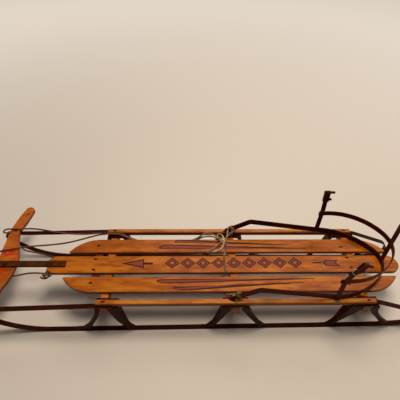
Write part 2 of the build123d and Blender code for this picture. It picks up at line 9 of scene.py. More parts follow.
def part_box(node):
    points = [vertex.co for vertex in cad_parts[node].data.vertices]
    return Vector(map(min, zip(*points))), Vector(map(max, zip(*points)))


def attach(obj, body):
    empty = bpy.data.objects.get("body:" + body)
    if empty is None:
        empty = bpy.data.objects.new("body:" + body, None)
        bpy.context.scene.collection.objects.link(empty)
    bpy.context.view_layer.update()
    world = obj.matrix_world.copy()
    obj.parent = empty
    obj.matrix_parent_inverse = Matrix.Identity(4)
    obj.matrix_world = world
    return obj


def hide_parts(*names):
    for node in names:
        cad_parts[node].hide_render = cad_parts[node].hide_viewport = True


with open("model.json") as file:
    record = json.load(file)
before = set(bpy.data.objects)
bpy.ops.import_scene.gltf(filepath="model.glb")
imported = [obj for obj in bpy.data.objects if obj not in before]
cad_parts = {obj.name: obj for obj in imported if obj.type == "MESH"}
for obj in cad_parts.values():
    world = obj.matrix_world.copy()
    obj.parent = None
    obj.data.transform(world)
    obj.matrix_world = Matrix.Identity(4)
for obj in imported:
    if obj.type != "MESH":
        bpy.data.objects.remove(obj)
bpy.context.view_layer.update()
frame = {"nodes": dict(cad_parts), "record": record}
nodes = frame["nodes"]
scene = bpy.context.scene
mm = 0.001
waveBand = 314  # a wave texture of this scale repeats every millimetre
sledShift = 137.796  # mm from the sled's own middle to the row's


def place(x, y, z):
    return Vector(((x + sledShift) * mm, y * mm, z * mm))


def linear(hexText):
    parts = [int(hexText[i:i + 2], 16) / 255 for i in (1, 3, 5)]
    return [p / 12.92 if p <= 0.04045 else ((p + 0.055) / 1.055) ** 2.4 for p in parts] + [1]


# adds one node and gives its first live output, or the one named in out:
# settings go on the node, inputs on its sockets, and a socket as input is linked
def addNode(tree, kind, inputs=None, stops=None, out=None, **settings):
    node = tree.nodes.new("ShaderNode" + kind)
    for name, value in settings.items():
        setattr(node, name, value)
    for name, value in (inputs or {}).items():
        if isinstance(value, bpy.types.NodeSocket):
            tree.links.new(value, node.inputs[name])
        else:
            node.inputs[name].default_value = linear(value) if isinstance(value, str) else value
    for i, (at, colour) in enumerate(stops or []):
        steps = node.color_ramp.elements
        step = steps[i] if i < 2 else steps.new(at)
        step.position = at
        step.color = linear(colour)
    live = [socket for socket in node.outputs if socket.enabled and (not out or socket.name == out)]
    return live[0] if live else None


def newMaterial(name):
    material = bpy.data.materials.new(name)
    material.use_nodes = True
    material.node_tree.nodes.clear()
    return material, material.node_tree


def newPiece(name, verts, faces, material, smooth=True, uvs=None):
    mesh = bpy.data.meshes.new(name)
    mesh.from_pydata([tuple(v) for v in verts], [], faces)
    if uvs:
        layer = mesh.uv_layers.new(name="along")
        for loop in mesh.loops:
            layer.data[loop.index].uv = uvs[loop.vertex_index]
    for face in mesh.polygons:
        face.use_smooth = smooth
    mesh.update()
    mesh.materials.append(material)
    piece = bpy.data.objects.new(name, mesh)
    scene.collection.objects.link(piece)
    return piece


# closes rings of corners, which follow each other from the vertex first, into a solid length
def tubeFaces(first, rings, corners):
    faces = []
    for i in range(rings - 1):
        for k in range(corners):
            a = first + i * corners + k
            b = first + i * corners + (k + 1) % corners
            faces.append((a, b, b + corners, a + corners))
    faces.append(tuple(first + k for k in reversed(range(corners))))
    faces.append(tuple(first + (rings - 1) * corners + k for k in range(corners)))
    return faces


# metres and degrees, and mm for the lens
cameraView = {
    "place": (-0.063694, -1.01131, 1.62305),
    "pitchDown": 45.09,
    "yaw": 2.49,
    "roll": 1.84,
    "lens": 34.824,
    "sensor": 36,
    "clip": (0.05, 50),
}
yaw, pitch, roll = (math.radians(cameraView[name]) for name in ("yaw", "pitchDown", "roll"))
cameraData = bpy.data.cameras.new("camera")
cameraData.lens = cameraView["lens"]
cameraData.sensor_width = cameraView["sensor"]
cameraData.clip_start, cameraData.clip_end = cameraView["clip"]
camera = bpy.data.objects.new("camera", cameraData)
scene.collection.objects.link(camera)
camera.matrix_world = (Matrix.Translation(cameraView["place"]) @ Matrix.Rotation(-yaw, 4, "Z")
                       @ Matrix.Rotation(math.pi / 2 - pitch, 4, "X") @ Matrix.Rotation(roll, 4, "Z"))
scene.camera = camera
print("camera placed")

ropeLook = {
    "clean": "#a67c4e",
    "worn": "#7b5432",
    "dirt": "#3e2212",
    "soil": "#c08c68",
    "yarn": 1.1,  # mm between the yarns of a strand
    "lint": 1.6,  # mm, drawn coarser than real lint, which wouldn't show
    "stain": 55,  # mm from one dirty stretch to the next
    "soiled": (-650, -250),  # mm along the sled, from rope darkened by handling to clean rope
}
paleLook = dict(ropeLook, clean="#dcc8a6", worn="#ad8f68", dirt="#5c4229", stain=24)
grimyLook = dict(ropeLook, clean="#8a7d56", worn="#5a4c30", dirt="#2a1e11", stain=20)
cordLook = dict(ropeLook, clean="#d0be98", worn="#ab9469", dirt="#7d6643", yarn=0.6, stain=30)


# old cotton rope, twisted: dull, dry fibre, darker in the grooves between its yarns
def cottonRope(name, look):
    material, tree = newMaterial(name)
    spot = addNode(tree, "TexCoord", out="Object")
    stain = addNode(tree, "TexNoise", {
        "Vector": spot, "Scale": 1000 / look["stain"], "Detail": 3}, out="Fac")
    lint = addNode(tree, "TexNoise", {"Vector": spot, "Scale": 1000 / look["lint"]}, out="Fac")
    # the strand's own map runs in metres along it and once round it
    along = addNode(tree, "UVMap", uv_map="along")
    turned = addNode(tree, "Mapping", {
        "Vector": along, "Scale": (1, 0.005, 1), "Rotation": (0, 0, 0.62)})
    yarn = addNode(tree, "TexWave", {
        "Vector": turned, "Scale": waveBand / look["yarn"], "Distortion": 1.2, "Detail": 1,
        "Detail Scale": 0.4}, out="Fac")
    colour = addNode(tree, "ValToRGB", {"Fac": stain},
                     stops=[(0.32, look["dirt"]), (0.64, look["clean"]), (0.48, look["worn"])])
    groove = addNode(tree, "MapRange", {0: yarn, 2: 0.5, 3: 0.55, 4: 1.08})
    speck = addNode(tree, "MapRange", {0: lint, 1: 0.3, 2: 0.7, 3: 0.78, 4: 1.18})
    shade = addNode(tree, "Math", {0: groove, 1: speck}, operation="MULTIPLY")
    dirty, clean = ((x + sledShift) * mm for x in look["soiled"])
    alongSled = addNode(tree, "SeparateXYZ", {"Vector": spot}, out="X")
    handled = addNode(tree, "MapRange", {0: alongSled, 1: dirty, 2: clean, 3: 1, 4: 0})
    for share, over in ((handled, look["soil"]), (1, shade)):
        colour = addNode(tree, "Mix", {0: share, 6: colour, 7: over}, data_type="RGBA",
                         blend_type="MULTIPLY")
    height = addNode(tree, "Math", {0: yarn, 1: lint}, operation="ADD")
    bump = addNode(tree, "Bump", {"Height": height, "Strength": 0.6, "Distance": 0.0004})
    shader = addNode(tree, "BsdfPrincipled", {
        "Base Color": colour, "Normal": bump, "Roughness": 0.95, "IOR": 1.5, "Specular IOR Level": 0.3,
        "Sheen Weight": 0.12, "Sheen Roughness": 0.6})
    addNode(tree, "OutputMaterial", {"Surface": shader})
    return material


ropeCotton = cottonRope("twistedCottonRope", ropeLook)
paleCotton = cottonRope("bleachedCottonRope", paleLook)
grimyCotton = cottonRope("grimyCottonRope", grimyLook)
cordCotton = cottonRope("thinCottonCord", cordLook)


# the smooth line that a rope takes along its route
def smoothLine(points):
    curve = bpy.data.curves.new("route", "CURVE")
    curve.dimensions = "3D"
    spline = curve.splines.new("NURBS")
    spline.points.add(len(points) - 1)
    for knot, point in zip(spline.points, points):
        knot.co = (*point, 1)
    spline.order_u = 3
    spline.use_endpoint_u = True
    spline.resolution_u = 14
    holder = bpy.data.objects.new("route", curve)
    mesh = bpy.data.meshes.new_from_object(holder)
    line = [v.co.copy() for v in mesh.vertices]
    bpy.data.meshes.remove(mesh)
    bpy.data.objects.remove(holder)
    bpy.data.curves.remove(curve)
    return line


# points evenly spread on a line, and the line's length
def evenSteps(line, step):
    travelled = [0]
    for a, b in zip(line, line[1:]):
        travelled.append(travelled[-1] + (b - a).length)
    count = max(4, round(travelled[-1] / step))
    result = []
    at = 0
    for i in range(count + 1):
        goal = travelled[-1] * i / count
        while at < len(line) - 2 and travelled[at + 1] < goal:
            at += 1
        span = travelled[at + 1] - travelled[at]
        part = (goal - travelled[at]) / span if span > 0 else 0
        result.append(line[at].lerp(line[at + 1], min(max(part, 0), 1)))
    return result, travelled[-1]


# at each point the way onward, and two ways across it that don't twist from point to point
def steadySides(line):
    sides = []
    side = None
    for i in range(len(line)):
        onward = (line[min(i + 1, len(line) - 1)] - line[max(i - 1, 0)]).normalized()
        if side is None:
            side = onward.orthogonal().normalized()
        side = (side - onward * side.dot(onward)).normalized()
        sides.append((onward, side, onward.cross(side)))
    return sides


strandLook = {
    "strands": 3,
    "round": 11,  # corners round a strand
    "lay": 3.4,  # rope widths to one full twist
    "strandPart": 0.53,  # strand width as a part of the rope's
}


# the strands of a twisted rope along a line, with the twist carried by the mesh
def ropeStrands(line, width, step):
    line, length = evenSteps(line, step * mm)
    sides = steadySides(line)
    width = width * mm
    strandRadius = width / 2 * strandLook["strandPart"]
    offset = width / 2 - strandRadius
    corners = strandLook["round"]
    lay = width * strandLook["lay"]
    verts, faces, uvs = [], [], []
    for strand in range(strandLook["strands"]):
        faces += tubeFaces(len(verts), len(line), corners)
        for i, (point, (onward, side, over)) in enumerate(zip(line, sides)):
            travelled = length * i / (len(line) - 1)
            angle = math.tau * (travelled / lay + strand / strandLook["strands"])
            out = side * math.cos(angle) + over * math.sin(angle)
            around = over * math.cos(angle) - side * math.sin(angle)
            heading = (onward + around * (math.tau * offset / lay)).normalized()
            wide = heading.cross(out)
            for k in range(corners):
                turnBy = math.tau * k / corners
                verts.append(point + out * (offset + strandRadius * math.cos(turnBy))
                             + wide * strandRadius * math.sin(turnBy))
                uvs.append((travelled, abs(k / corners - 0.5) * 2))
    return verts, faces, uvs, line


# one piece made of one or more lengths of rope, each given by its points in mm
def ropePiece(name, routes, width, material, step=1.3):
    allVerts, allFaces, allUvs = [], [], []
    for route in routes:
        verts, faces, uvs, line = ropeStrands(smoothLine([place(*p) for p in route]), width, step)
        start = len(allVerts)
        allVerts += verts
        allFaces += [tuple(start + i for i in face) for face in faces]
        allUvs += uvs
    return newPiece(name, allVerts, allFaces, material, uvs=allUvs), line


# mm along the sled, across it and up from the floor
ropeRoutes = {
    "rope_outer": {"width": 8, "length": 1106, "end": "bare", "route": [
        (-46.9, 135.9, 213.8), (-63.8, 152.9, 213.8), (-93, 164, 219), (-117, 168, 218), (-131, 166, 211),
        (-147, 162, 197), (-168, 156, 186), (-205, 145, 181), (-268, 137, 179), (-350, 139, 179),
        (-430, 149, 181), (-471, 158, 193), (-503, 166, 208), (-531, 174, 218), (-563, 172, 220),
        (-596, 171, 219), (-634, 171, 212), (-703, 176, 199), (-786, 187, 194), (-851, 199, 195),
        (-908, 205, 202), (-946, 203, 211), (-985, 200, 211), (-1020, 200, 210), (-1046, 201, 210),
        (-1063, 198, 210), (-1070, 184, 210), (-1056, 174, 210), (-1040, 179, 210),
    ]},
    "rope_inner": {"width": 8, "length": 1078, "end": "knot", "route": [
        (-1060, 23.3, 210), (-1060, 42, 210), (-1051, 62, 211), (-1032, 76, 211), (-1000, 80, 211),
        (-955, 89, 212), (-903, 99, 210), (-833, 106, 208), (-758, 117, 208), (-676, 143, 211),
        (-622, 158, 217), (-585, 161, 220), (-557, 162, 220), (-525, 163, 218), (-492, 153, 208),
        (-462, 147, 194), (-432, 138, 181), (-352, 128, 179), (-270, 125, 179), (-212, 132, 180),
        (-180, 142, 183), (-160, 149, 191), (-142, 152, 202), (-122, 154, 210), (-96, 152, 213),
        (-69.5, 144.4, 213.8), (-53.9, 128.9, 213.8),
    ]},
    "rope_tail": {"width": 8, "length": 71, "end": "bare", "route": [
        (-50.4, 113.6, 210.3), (-61.7, 102.3, 210.3), (-83, 84, 209.3), (-106, 70, 209.3),
    ]},
    "rope_to_foot": {"width": 8, "length": 61, "end": "object", "route": [
        (-31.6, 132.4, 213.8), (-20.3, 143.7, 213.8), (-9, 154, 223), (4, 162, 231), (4, 173.9, 231),
    ]},
    "rope_across": {"width": 8, "length": 369, "end": "knot", "route": [
        (-31.6, 113.6, 210.3), (-24.5, 106.5, 210.3), (-22, 92, 209.3), (-30, 72, 209.3), (-37, 52, 209.3),
        (-40, 20, 209.3), (-38, -15, 209.3), (-36, -38, 211), (-40, -53, 207), (-47, -56, 195),
        (-60, -57, 184), (-78, -64, 180), (-84, -84, 179), (-72, -110, 180), (-56, -129, 181),
        (-44, -141, 185), (-36, -150, 194), (-29, -156, 206), (-17, -159, 215), (-4.3, -159, 216),
    ]},
    "rope_front": {"width": 8, "length": 480, "end": "object", "route": [
        (-950, 84.9, 210), (-938, 78, 204), (-915, 78, 196), (-885, 75, 190), (-848, 68, 187),
        (-812, 55, 184), (-790, 30, 182), (-784, 0, 181), (-788, -26, 183), (-800, -38, 188),
        (-824, -40, 194), (-862, -36, 195), (-905, -36, 190), (-942, -42, 183), (-972, -42, 179),
        (-991, -30, 179), (-998, -18.8, 179), (-998, -8.1, 179),
    ]},
    "cord_tie": {"width": 4, "length": 120, "end": "object", "route": [
        (430.7, -186, 426.4), (421.5, -186, 430.4), (413, -190, 424), (418, -193, 410), (431, -193, 398),
        (447, -193, 390), (464, -191, 388), (477, -188, 395), (474.5, -186, 405.3), (465.3, -186, 409.2),
    ]},
}
ropeEnds = {}
for name, rope in ropeRoutes.items():
    thin = name == "cord_tie"
    step = 0.9 if thin else 1.9  # mm along the rope from one ring of corners to the next
    cotton = cordCotton if thin else ropeCotton
    piece, path = ropePiece(name + "_laid", [rope["route"]], rope["width"], cotton, step)
    ropeEnds[name] = {"piece": piece, "path": path}
    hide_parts(name)
    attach(piece, "sled")
print("ropes laid:", len(ropeEnds))

# each pass is one rope's way through the knot, mm from the knot's middle
mainKnot = {
    "middle": (-41, 123, 213.8),
    "turn": 135,  # degrees from the sled's length to the side where the long ropes enter
    "passes": [
        [(15, 5, 0), (9.5, 5.5, 1), (3, 2, 4.5), (-4, -4, 4.8), (-8.6, -6, 1), (-7, -8, -3), (-1, -7, -4.4),
         (3, 0, -4.4), (3, -7, -2), (0, -9.5, 0), (0, -15, 0)],
        [(15, -5, 0), (9.5, -5.5, -1), (3, -4, -4), (-3, 3, -4.6), (-6, 8, -1), (0, 9.4, 3.2), (5, 5, 5),
         (8, -1, 5), (4, -6, 3.5), (-3, -3, 1.5), (-9, 0, -1.5), (-15, 0, -3.5)],
        [(0, 15, -3.5), (1, 9.6, -2), (7.5, 4, 1), (7, -4, 4.4), (0, -8, 4), (-7.4, -4, 2.4), (-8.4, 3, 0),
         (-4, 6.6, -2), (2, 5, -3)],
    ],
}
leftKnot = {
    "middle": (10, -161.9, 218),
    "turn": 0,
    "passes": [
        [(-15.5, 2.9, -2), (-9, 3.5, -2), (-3, 0, 5.4), (3, -6, 5.8), (8.6, -7, 1), (6, -3, -5), (0, 5, -6),
         (-7, 8, -2), (-7.4, 4, 4), (0, 1, 6), (8, 5, 4.6), (10, 8, 0)],
        [(-10, -4, -5.5), (-10, -7.6, 0), (-4, -8, 5), (3, -2, 6.2), (7, 6, 4), (3, 8, -2), (-3, 4, -5.8),
         (3, -4, -6), (9.6, -5, -4), (10, 2, -3)],
        [(-8, -8, 2), (-3, -5, -4), (5, -8, -4.4), (10, -2, 2), (4, 4, 6), (-5, 6, 5), (-10, 0, 1)],
    ],
}
knotWidth = 7.4  # mm, the rope pulled tight


def knotRoutes(knot):
    angle = math.radians(knot["turn"])
    c, s = math.cos(angle), math.sin(angle)
    x, y, z = knot["middle"]
    return [[(x + a * c - b * s, y + a * s + b * c, z + up) for a, b, up in way] for way in knot["passes"]]


# the loose turns and ends about the knots, mm along the sled, across it and up
looseEnds = {
    "rope_knot_end": (paleCotton, [
        [(-36, 110, 213), (-38, 96, 212), (-50, 80, 209.4), (-70, 66, 209.2), (-90, 61, 209.2),
         (-103, 65, 209.2)],
        [(-62, 138, 214), (-67, 152, 216), (-58, 163, 219), (-45, 157, 221), (-37, 142, 220),
         (-33, 128, 218)],
    ]),
    "rope_foot_turn": (paleCotton, [
        [(-20, 146, 216), (-17, 158, 221), (-15, 170, 231), (-13, 178, 241), (-8, 186, 243), (0, 190, 236),
         (8, 189, 226), (12, 184, 218)],
        [(9, 176, 226), (6, 170, 219), (3, 166.5, 208), (4, 165, 193)],
    ]),
    "rope_knot_left_end": (paleCotton, [
        [(14, -158, 220), (6, -164, 225), (-1, -172, 222), (-4, -181, 219.5), (-4, -190, 218.5),
         (-3, -197, 217)],
    ]),
    "rope_front_bunch": (grimyCotton, [
        [(-796, -43, 186), (-806, -56, 189), (-819, -60, 194), (-829, -50, 196), (-823, -36, 194),
         (-809, -34, 190), (-804, -45, 186), (-812, -58, 184), (-828, -62, 187), (-838, -55, 190)],
        [(-822, -30, 190), (-812, -22, 188), (-802, -30, 187), (-808, -48, 195), (-822, -54, 198),
         (-832, -42, 192)],
    ]),
}
loosePieces = {name: ropePiece(name, routes, knotWidth, cotton)[0]
               for name, (cotton, routes) in looseEnds.items()}

# rope wound round a flat bar: the bar's half width and half thickness, and how its turns lie
wraps = {
    "lashing_right": {"middle": (8, 182, 235), "slope": 30.47, "halfWide": 14, "halfThick": 2,
                      "width": 5.4, "turns": 3.4, "spread": 15, "flat": "side"},
    "lashing_left": {"middle": (9, -182, 235.6), "slope": 30.47, "halfWide": 14, "halfThick": 2,
                     "width": 5.4, "turns": 3.2, "spread": 13, "flat": "side"},
    "rope_hitch": {"middle": (-1060, 0, 209.5), "slope": 0, "halfWide": 14.5, "halfThick": 4.5,
                   "width": 7.6, "turns": 2.15, "spread": 8.4, "flat": "top"},
}
windLook = {
    "perTurn": 12,  # points of the line
    "square": (0.42, 0.6),  # how squarely a turn goes round the wide and the thin side, 1 is round
    "uneven": 0.8,  # mm
}


def woundRoute(wrap):
    slope = math.radians(wrap["slope"])
    lengthways = Vector((math.cos(slope), 0, math.sin(slope)))
    wide, thick = Vector((-math.sin(slope), 0, math.cos(slope))), Vector((0, 1, 0))
    if wrap["flat"] == "top":
        wide, thick = Vector((0, 1, 0)), Vector((0, 0, 1))
    reach = wrap["width"] / 2
    points = []
    count = round(wrap["turns"] * windLook["perTurn"])
    squareWide, squareThick = windLook["square"]
    for i in range(count + 1):
        angle = math.tau * wrap["turns"] * i / count + math.pi / 2
        c, s = math.cos(angle), math.sin(angle)
        w = (wrap["halfWide"] + reach) * math.copysign(abs(c) ** squareWide, c)
        t = (wrap["halfThick"] + reach) * math.copysign(abs(s) ** squareThick, s)
        along = wrap["spread"] * (i / count - 0.5) + windLook["uneven"] * math.sin(angle * 2)
        points.append(tuple(Vector(wrap["middle"]) + lengthways * along + wide * w + thick * t))
    return points


knots = {
    "rope_knot": ropePiece("rope_knot_tied", knotRoutes(mainKnot), knotWidth, paleCotton)[0],
    "rope_knot_left": ropePiece("rope_knot_left_tied", knotRoutes(leftKnot), knotWidth, grimyCotton)[0],
}
for name, wrap in wraps.items():
    cotton = paleCotton if name == "lashing_right" else grimyCotton
    knots[name] = ropePiece(name + "_wound", [woundRoute(wrap)], wrap["width"], cotton, step=1.2)[0]
for name, piece in knots.items():
    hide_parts(name)

# the cut ends come apart into loose yarns, mm
frayLook = {
    "rope_tail": {"yarns": 30, "long": (9, 20), "floor": 205},
    "rope_outer": {"yarns": 22, "long": (8, 16), "floor": 204.5},
}
yarnLook = {
    "thick": 1.1,
    "root": 2.4,  # from the rope's middle to its outer yarns
    "hidden": 2,  # inside the rope's end
    "splay": 0.62,  # how far an outer yarn bends away, as a part of its length
    "shorter": 0.25,  # how much shorter the outer yarns are
    "lift": 0.2,
    "droop": 3,  # down at the tip
    "low": 0.5,  # from the floor of the fray to the middle of a yarn that lies on it
    "taper": 0.6,
    "rings": 7,
    "corners": 5,
}


def frayedEnd(name, path, look):
    chance = random.Random(len(name) * 7 + 5)
    onward = (path[-1] - path[-4]).normalized()
    side = onward.cross(Vector((0, 0, 1))).normalized()
    root = yarnLook["root"] * mm
    last, corners = yarnLook["rings"] - 1, yarnLook["corners"]
    verts, faces, uvs = [], [], []
    for _ in range(look["yarns"]):
        long = chance.uniform(*look["long"]) * mm
        out = chance.uniform(-1, 1)
        up = chance.uniform(-1, 1)
        start = path[-1] - onward * yarnLook["hidden"] * mm + side * out * root + Vector((0, 0, up * root))
        forward = onward * long * (1 - yarnLook["shorter"] * abs(out))
        line = []
        for i in range(last + 1):
            t = i / last
            spot = start + forward * t + side * long * out * yarnLook["splay"] * t * t
            spot.z += (long * yarnLook["lift"] * up - yarnLook["droop"] * mm * t) * t
            spot.z = max(spot.z, (look["floor"] + yarnLook["low"]) * mm)
            line.append(spot)
        faces += tubeFaces(len(verts), last + 1, corners)
        for i, (spot, (_, s, o)) in enumerate(zip(line, steadySides(line))):
            radius = yarnLook["thick"] / 2 * mm * (1 - yarnLook["taper"] * (i / last) ** 2)
            for k in range(corners):
                angle = math.tau * k / corners
                verts.append(spot + s * math.cos(angle) * radius + o * math.sin(angle) * radius)
                uvs.append((long * i / last, k / corners))
    return newPiece(name + "_fray", verts, faces, paleCotton, uvs=uvs)


frays = {name: frayedEnd(name, ropeEnds[name]["path"], look) for name, look in frayLook.items()}
for piece in [*knots.values(), *loosePieces.values(), *frays.values()]:
    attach(piece, "sled")

print("knots tied:", len(knots))

slatLook = {
    "early": "#ac5906",
    "late": "#7d3703",
    "streak": "#451b02",
    "aged": "#5c2403",
    "golden": "#c87a1c",  # where the varnish has stayed clear
    "bare": "#bf8440",
    "heart": (8.1, -147),  # mm across and up from the boards to the middle of the log
    "ring": 4.2,  # mm from one growth ring to the next
    "fibre": 1.3,  # mm across one streak of pores, drawn coarser than the real ones, which wouldn't show
    "cloud": 38.46,  # mm across a patch that has aged alike
    "nick": 9.09,  # mm from one nick to the next
    "scratch": 5.88,  # mm from one scratch to the next
    "eased": 3.5,  # mm, the radius that the corners look sanded to
    "grimeAndShade": 9,  # mm from the corners that are darkened, partly by dirt and partly with painted shade that makes them look rounded
    "rubbed": 1.8,  # mm from the corners that are rubbed bare
    "sideShade": 0.75,  # how far the sides and undersides are darkened, painted shade for faces turned away from the light above
    "rough": (0.34, 0.54),
    "varnish": 0.22,
}
frameLook = dict(slatLook, early="#c06c18", late="#8f460b", streak="#481e04", aged="#5e2605",
                 golden="#d28836", ring=3.6, grimeAndShade=3, sideShade=0.9, heart=(8.1, -154))
barLook = dict(slatLook, early="#b85c10", late="#843f08", streak="#4a1d05", aged="#622a06",
               golden="#c57a29", bare="#b27a40", ring=5, grimeAndShade=6, rough=(0.4, 0.6), heart=(8.1, -146))
battenLook = dict(frameLook, early="#7c2c1a", late="#5a1c10", streak="#33100a", aged="#441509",
                  golden="#8a3a22", bare="#93543a", varnish=0.1)


# a board's grain in the sled's own space, so it runs on under the paint that lies on it
def grainNodes(tree, look):
    spot = addNode(tree, "TexCoord", out="Object")
    # boards lie about 102.5 mm apart, and each is cut from another part of the log
    board = addNode(tree, "SeparateXYZ", {"Vector": spot}, out="Y")
    board = addNode(tree, "Math", {0: board, 1: 0.1025}, operation="DIVIDE")
    board = addNode(tree, "Math", {0: board}, operation="ROUND")
    away = addNode(tree, "Math", {0: board, 1: 0.73}, operation="MULTIPLY")
    drop = addNode(tree, "Math", {0: board, 1: -0.093}, operation="MULTIPLY")
    moved = addNode(tree, "CombineXYZ", {"X": away, "Y": drop})
    spot = addNode(tree, "VectorMath", {0: spot, 1: moved}, operation="ADD", out="Vector")
    heart = addNode(tree, "Mapping", {
        "Vector": spot, "Scale": (0.14, 1, 1), "Rotation": (0, 0.012, 0.03),
        "Location": (0, look["heart"][0] * mm, look["heart"][1] * mm)})
    rings = addNode(tree, "TexWave", {
        "Vector": heart, "Scale": waveBand / look["ring"], "Distortion": 5, "Detail Scale": 0.35,
        "Detail Roughness": 0.55}, out="Fac", wave_type="RINGS", rings_direction="X", wave_profile="SAW")
    drawn = addNode(tree, "Mapping", {"Vector": spot, "Scale": (0.035, 1, 1)})
    fibre = addNode(tree, "TexNoise", {
        "Vector": drawn, "Scale": 1000 / look["fibre"], "Detail": 3, "Roughness": 0.6}, out="Fac")
    cloud = addNode(tree, "Mapping", {"Vector": spot, "Scale": (0.3, 1, 1)})
    aged = addNode(tree, "TexNoise", {
        "Vector": cloud, "Scale": 1000 / look["cloud"], "Detail": 4, "Roughness": 0.6}, out="Fac")
    return spot, rings, fibre, aged


def woodColour(tree, look):
    spot, rings, fibre, aged = grainNodes(tree, look)
    ring = addNode(tree, "ValToRGB", {"Fac": rings},
                   stops=[(0, look["early"]), (0.97, look["late"]), (0.5, look["early"])])
    pores = addNode(tree, "MapRange", {0: fibre, 1: 0.5, 2: 0.74, 4: 0.7})
    clear = addNode(tree, "MapRange", {0: aged, 1: 0.5, 2: 0.3, 4: 0.6})
    old = addNode(tree, "MapRange", {0: aged, 1: 0.48, 2: 0.74, 4: 0.72})
    colour = ring
    for share, tone in ((0.4, "early"), (pores, "streak"), (clear, "golden"), (old, "aged")):
        colour = addNode(tree, "Mix", {0: share, 6: colour, 7: look[tone]}, data_type="RGBA")
    return spot, colour, rings, fibre, aged


# 1 on a piece's sharp edge, falling to 0 at the reach given in mm
def edgeNodes(tree, reach):
    softened = addNode(tree, "Bevel", {"Radius": reach * mm}, samples=4)
    flat = addNode(tree, "NewGeometry", out="Normal")
    match = addNode(tree, "VectorMath", {0: softened, 1: flat}, out="Value", operation="DOT_PRODUCT")
    return addNode(tree, "MapRange", {0: match, 1: 1, 2: 0.86})


# nothing where the surface's normal is as high as the first share, and the most at the second
def facingUp(tree, none, full, most=1):
    up = addNode(tree, "SeparateXYZ", {"Vector": addNode(tree, "NewGeometry", out="Normal")}, out="Z")
    return addNode(tree, "MapRange", {0: up, 1: none, 2: full, 4: most})


# varnished ash, brushed on and gone amber: a satin gloss over rings and open pores,
# rubbed through to dry wood along the edges, with dark dents and dirt in the scratches
def varnishedWood(name, look, redPatches=None):
    material, tree = newMaterial(name)
    spot, colour, rings, fibre, aged = woodColour(tree, look)
    nick = addNode(tree, "TexNoise", {
        "Vector": spot, "Scale": 1000 / look["nick"], "Detail": 3}, out="Fac")
    chipped = addNode(tree, "MapRange", {0: nick, 1: 0.45, 2: 0.62, 4: 0.8})
    # darker towards the corners: partly dirt, partly painted shade that makes them look rounded
    grimeAndShade = addNode(tree, "Math", {0: edgeNodes(tree, look["grimeAndShade"]), 1: 0.55}, operation="MULTIPLY")
    # painted shade: faces that turn away from the light above are darkened towards the aged colour
    side = facingUp(tree, 0.8, 0.1, look["sideShade"])
    rub = addNode(tree, "Math", {0: edgeNodes(tree, look["rubbed"]), 1: chipped}, operation="MULTIPLY")
    dent = addNode(tree, "MapRange", {0: nick, 1: 0.67, 2: 0.75, 4: 0.65})
    long = addNode(tree, "Mapping", {"Vector": spot, "Scale": (0.06, 1, 1), "Rotation": (0, 0, 0.05)})
    scratch = addNode(tree, "TexNoise", {
        "Vector": long, "Scale": 1000 / look["scratch"], "Detail": 1}, out="Fac")
    scratch = addNode(tree, "MapRange", {0: scratch, 1: 0.7, 2: 0.73, 4: 0.5})
    # the first two mixes lay on the aged colour as dirt and painted shade along the corners, and as painted
    # shade on the sides
    for share, tone in ((grimeAndShade, "aged"), (side, "aged"), (rub, "bare"), (dent, "streak"),
                        (scratch, "streak")):
        colour = addNode(tree, "Mix", {0: share, 6: colour, 7: look[tone]}, data_type="RGBA")
    if redPatches:
        colour = wornRed(tree, colour, redPatches)
    relief = addNode(tree, "Math", {0: rings, 1: 0.35}, operation="MULTIPLY")
    relief = addNode(tree, "Math", {0: fibre, 1: relief}, operation="ADD")
    relief = addNode(tree, "Math", {0: relief, 1: dent}, operation="SUBTRACT")
    eased = addNode(tree, "Bevel", {"Radius": look["eased"] * mm}, samples=4)
    bump = addNode(tree, "Bump", {"Height": relief, "Strength": 0.35, "Distance": 0.0005, "Normal": eased})
    rough = addNode(tree, "MapRange", {0: aged, 1: 0.3, 2: 0.7, 3: look["rough"][0], 4: look["rough"][1]})
    shader = addNode(tree, "BsdfPrincipled", {
        "Base Color": colour, "Normal": bump, "Roughness": rough, "IOR": 1.5, "Specular IOR Level": 0.15,
        "Specular Tint": "#e8a070", "Coat Weight": look["varnish"], "Coat Roughness": 0.26, "Coat IOR": 1.5})
    addNode(tree, "OutputMaterial", {"Surface": shader})
    return material


redLook = {
    "colour": "#b5200f",
    "flake": 16.667,  # mm
    "patches": [(-1010, 64, 40, 20), (-1016, -47, 34, 30), (-960, 30, 26, 14)],  # middle and half size, mm
}


# what is left of a red paint on top of the steering bar
def wornRed(tree, colour, look):
    spot = addNode(tree, "TexCoord", out="Object")
    near = None
    for x, y, halfLong, halfWide in look["patches"]:
        scale = Vector((1000 / halfLong, 1000 / halfWide, 0))
        offset = [-a * b for a, b in zip(place(x, y, 0), scale)]
        spread = addNode(tree, "Mapping", {"Vector": spot, "Location": offset, "Scale": scale})
        away = addNode(tree, "VectorMath", {0: spread}, out="Value", operation="LENGTH")
        near = addNode(tree, "Math", {0: near, 1: away}, operation="MINIMUM") if near else away
    inside = addNode(tree, "MapRange", {0: near, 1: 1.5, 2: 0.7})
    patch = addNode(tree, "TexNoise", {
        "Vector": spot, "Scale": 1000 / look["flake"], "Detail": 5, "Roughness": 0.65}, out="Fac")
    left = addNode(tree, "MapRange", {0: patch, 1: 0.42, 2: 0.54, 4: 0.85})
    for part in (inside, facingUp(tree, 0.5, 0.9)):
        left = addNode(tree, "Math", {0: left, 1: part}, operation="MULTIPLY")
    return addNode(tree, "Mix", {0: left, 6: colour, 7: look["colour"]}, data_type="RGBA")


